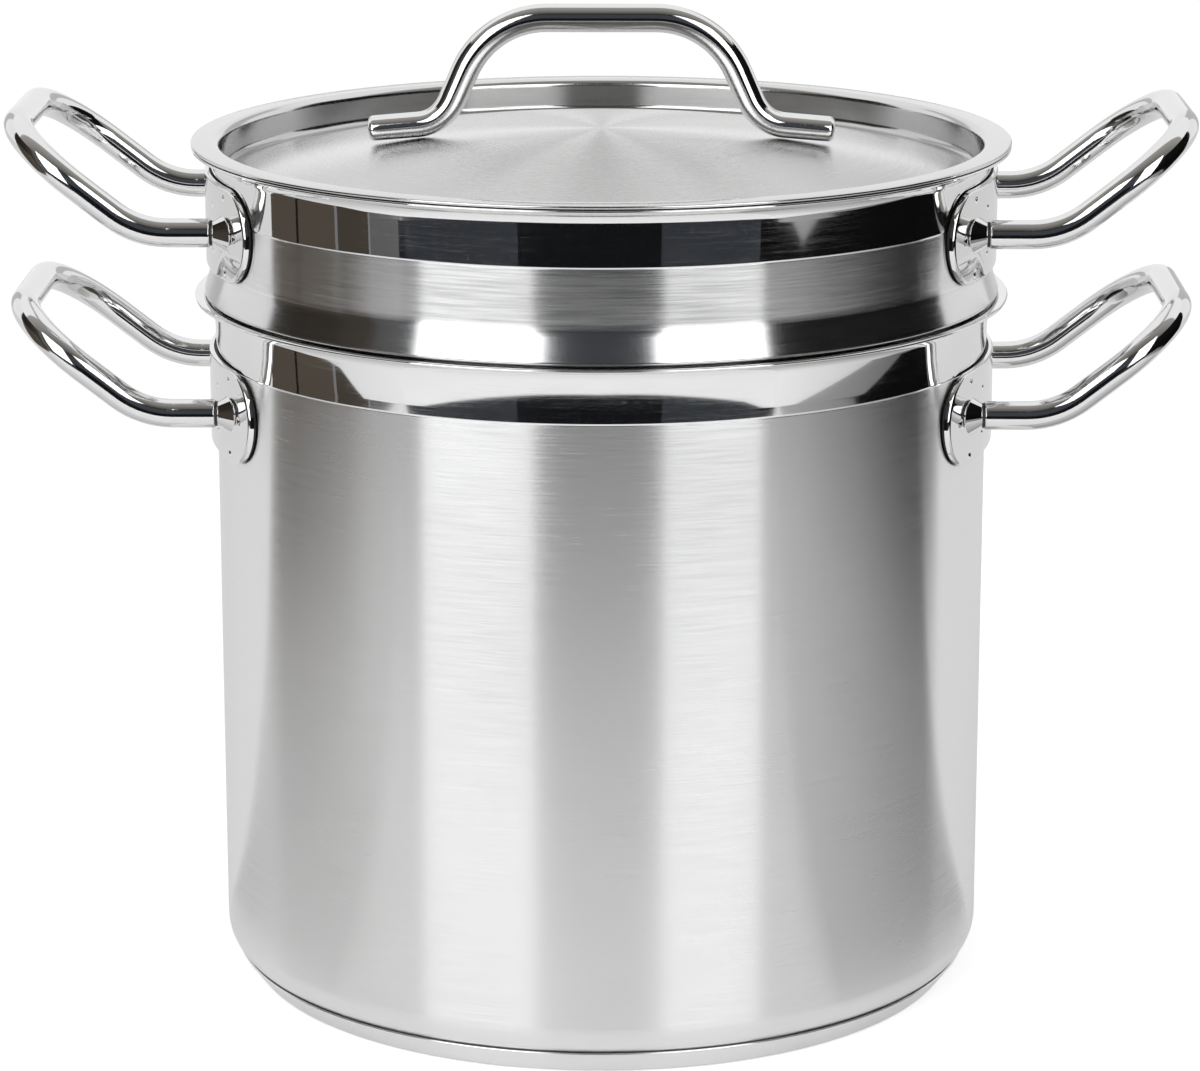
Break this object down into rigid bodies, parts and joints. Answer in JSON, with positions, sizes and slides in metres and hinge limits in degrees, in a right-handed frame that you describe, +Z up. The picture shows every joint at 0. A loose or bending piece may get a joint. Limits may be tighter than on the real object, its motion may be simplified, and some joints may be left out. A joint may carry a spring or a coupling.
{
  "type": "pasta pot",
  "caption": "Tall stainless-steel pasta pot with a perforated lift-out insert that stands on its rim, looped bar handles and a recessed lid with an arched bar handle.",
  "frame": {"origin": "centre of the underside, on the surface that the pot stands on", "axes": "+Z up along the pot's axis; +X through the handles, to the right in the picture; the picture looks along +Y"},
  "size_m": [0.3938, 0.2742, 0.3312],
  "materials": {
    "brushed_steel": "stainless steel, brushed round the wall, with mirror-polished bands under the rims",
    "polished_steel": "mirror-polished stainless steel",
    "aluminium_core": "plain rolled disc, closed in"
  },
  "bodies": {
    "pot": {"pot_shell": "brushed_steel", "base_core": "aluminium_core", "base_cap": "brushed_steel", "pot_bracket_left": "polished_steel", "pot_bracket_right": "polished_steel", "pot_handle_left": "polished_steel", "pot_handle_right": "polished_steel"},
    "insert": {"insert_shell": "brushed_steel", "insert_bracket_left": "polished_steel", "insert_bracket_right": "polished_steel", "insert_handle_left": "polished_steel", "insert_handle_right": "polished_steel"},
    "lid": {"lid_shell": "brushed_steel", "lid_handle": "polished_steel"}
  },
  "joints": [
    {"name": "insert_lift", "type": "slide", "parent": "pot", "child": "insert", "axis": [0, 0, 1], "range_m": [0, 0.25]},
    {"name": "lid_lift", "type": "slide", "parent": "insert", "child": "lid", "axis": [0, 0, 1], "range_m": [0, 0.15]}
  ]
}
